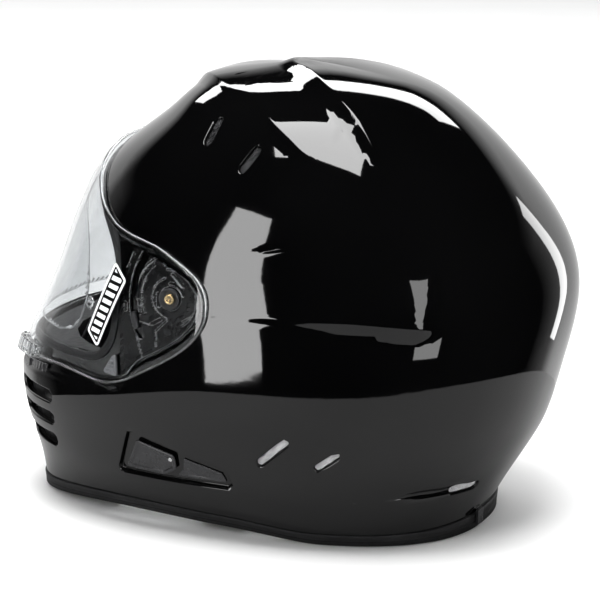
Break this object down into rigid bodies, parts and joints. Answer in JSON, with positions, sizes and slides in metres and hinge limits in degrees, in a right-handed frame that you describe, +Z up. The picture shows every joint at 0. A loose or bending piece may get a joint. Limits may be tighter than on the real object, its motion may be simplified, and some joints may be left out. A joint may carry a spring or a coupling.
{
  "type": "full-face motorcycle helmet",
  "caption": "Full-face motorcycle helmet in gloss black with a clear visor that swings up, a drop-down sun visor, vents, padded lining and a chin strap with two rings",
  "frame": {"origin": "under the middle of the helmet, on the surface it stands on", "axes": "+X is the wearer's left, -Y is the front (visor side), +Z is up"},
  "size_m": [0.2586, 0.3319, 0.2621],
  "materials": {
    "shell": "gloss",
    "trim": "satin",
    "gasket": "satin",
    "foam": "matte",
    "lining": "brushed",
    "visor": "clear",
    "insert": "clear",
    "tint": "tinted",
    "mechanism": "satin",
    "boss": "gloss",
    "screw": "satin",
    "lever": "satin",
    "pin": "satin",
    "mesh": "satin",
    "grille": "satin",
    "webbing": "woven",
    "hardware": "satin"
  },
  "bodies": {
    "helmet": {"outer_shell": "shell", "base_trim": "trim", "eyeport_gasket": "gasket", "impact_liner": "foam", "chin_bar_liner": "foam", "crown_pad": "lining", "neck_roll": "lining", "shield_latch": "mechanism", "breath_deflector": "gasket", "chin_curtain": "lining", "trim_clip": "mechanism", "lever_track": "mechanism", "sun_visor_cable": "mechanism", "chin_strap_left": "webbing", "chin_strap_right": "webbing", "d_ring_upper": "hardware", "d_ring_lower": "hardware", "strap_snap": "hardware", "cheek_pad_left": "lining", "cheek_pad_right": "lining", "visor_base_left": "mechanism", "visor_base_right": "mechanism", "base_boss_left": "boss", "base_boss_right": "boss", "base_screw_left": "screw", "base_screw_right": "screw", "crown_vent_front_mesh_left": "mesh", "crown_vent_front_mesh_right": "mesh", "crown_vent_rear_mesh_left": "mesh", "crown_vent_rear_mesh_right": "mesh", "side_exhaust_front_mesh_left": "mesh", "side_exhaust_front_mesh_right": "mesh", "side_exhaust_rear_mesh_left": "mesh", "side_exhaust_rear_mesh_right": "mesh", "chin_vent_grille_left": "mechanism", "chin_vent_grille_right": "mechanism", "sun_visor_pivot_left": "mechanism", "sun_visor_pivot_right": "mechanism", "strap_anchor_left": "hardware", "strap_anchor_right": "hardware", "strap_rivet_left": "hardware", "strap_rivet_right": "hardware", "rear_exhaust_mesh_left": "grille", "rear_exhaust_mesh_right": "grille"},
    "shield": {"face_shield": "visor", "guide_shoe_left": "mechanism", "guide_shoe_right": "mechanism", "anti_fog_insert": "insert", "anti_fog_pin_left": "pin", "anti_fog_pin_right": "pin"},
    "sun_shade": {"sun_visor": "tint", "sun_visor_arm_left": "mechanism", "sun_visor_arm_right": "mechanism"},
    "lever": {"sun_visor_lever": "mechanism"},
    "release_left": {"release_lever_left": "lever"},
    "release_right": {"release_lever_right": "lever"}
  },
  "joints": [
    {"name": "shield_swing", "type": "hinge", "parent": "helmet", "child": "shield", "pos_m": [0, -0.004, 0.142], "axis": [-1, 0, 0], "range_deg": [0, 45]},
    {"name": "sun_visor_drop", "type": "hinge", "parent": "helmet", "child": "sun_shade", "pos_m": [0, -0.01, 0.15], "axis": [1, 0, 0], "range_deg": [0, 32]},
    {"name": "lever_slide", "type": "slide", "parent": "helmet", "child": "lever", "axis": [0.035, 0.9922, -0.12], "range_m": [0, 0.0245]},
    {"name": "release_slide_left", "type": "slide", "parent": "helmet", "child": "release_left", "axis": [-0.2634, -0.9647, 0], "range_m": [0, 0.0025], "stiffness_N_per_m": 200},
    {"name": "release_slide_right", "type": "slide", "parent": "helmet", "child": "release_right", "axis": [0.2634, -0.9647, 0], "range_m": [0, 0.0025], "stiffness_N_per_m": 200}
  ],
  "couplings": [
    {"joint": "lever_slide", "follows": "sun_visor_drop", "m_per_rad": 0.043}
  ]
}
